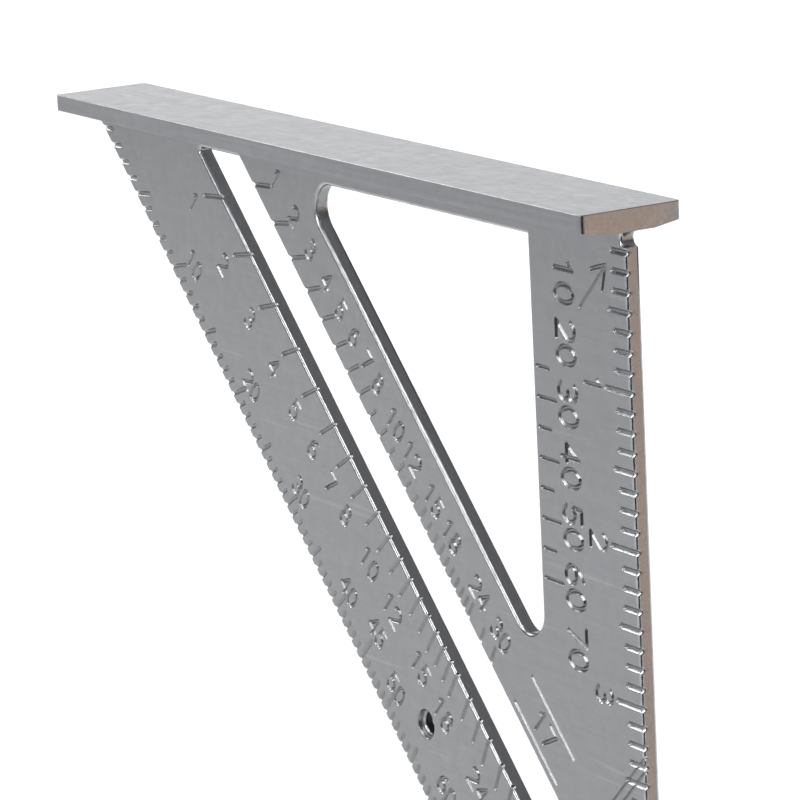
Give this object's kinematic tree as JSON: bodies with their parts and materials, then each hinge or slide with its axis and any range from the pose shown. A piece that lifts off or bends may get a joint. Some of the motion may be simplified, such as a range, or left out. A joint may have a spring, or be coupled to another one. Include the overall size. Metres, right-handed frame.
{
  "type": "speed square",
  "caption": "Cast aluminium layout triangle with a T-shaped fence, a slanted rafter slot, a triangular window and engraved ruler and degree scales.",
  "frame": {"origin": "pivot corner: the fence's seat meets the ruler edge and the board side of the plate", "axes": "+Z from the seat up through the fence, -X along the fence away from the pivot, +Y out of the board side of the plate"},
  "size_m": [0.175, 0.0188, 0.177],
  "materials": {
    "cast": "satin cast and blasted, with brighter worn edges"
  },
  "bodies": {
    "root": {"fence_spine": "cast", "fence_front_lip": "cast", "fence_rear_lip": "cast", "head_rail": "cast", "toe_web": "cast", "pivot_block": "cast", "ruler_arm": "cast", "elbow_web": "cast", "slot_bridge": "cast", "tail_web": "cast", "rafter_bar": "cast", "degree_arm": "cast"}
  },
  "joints": []
}
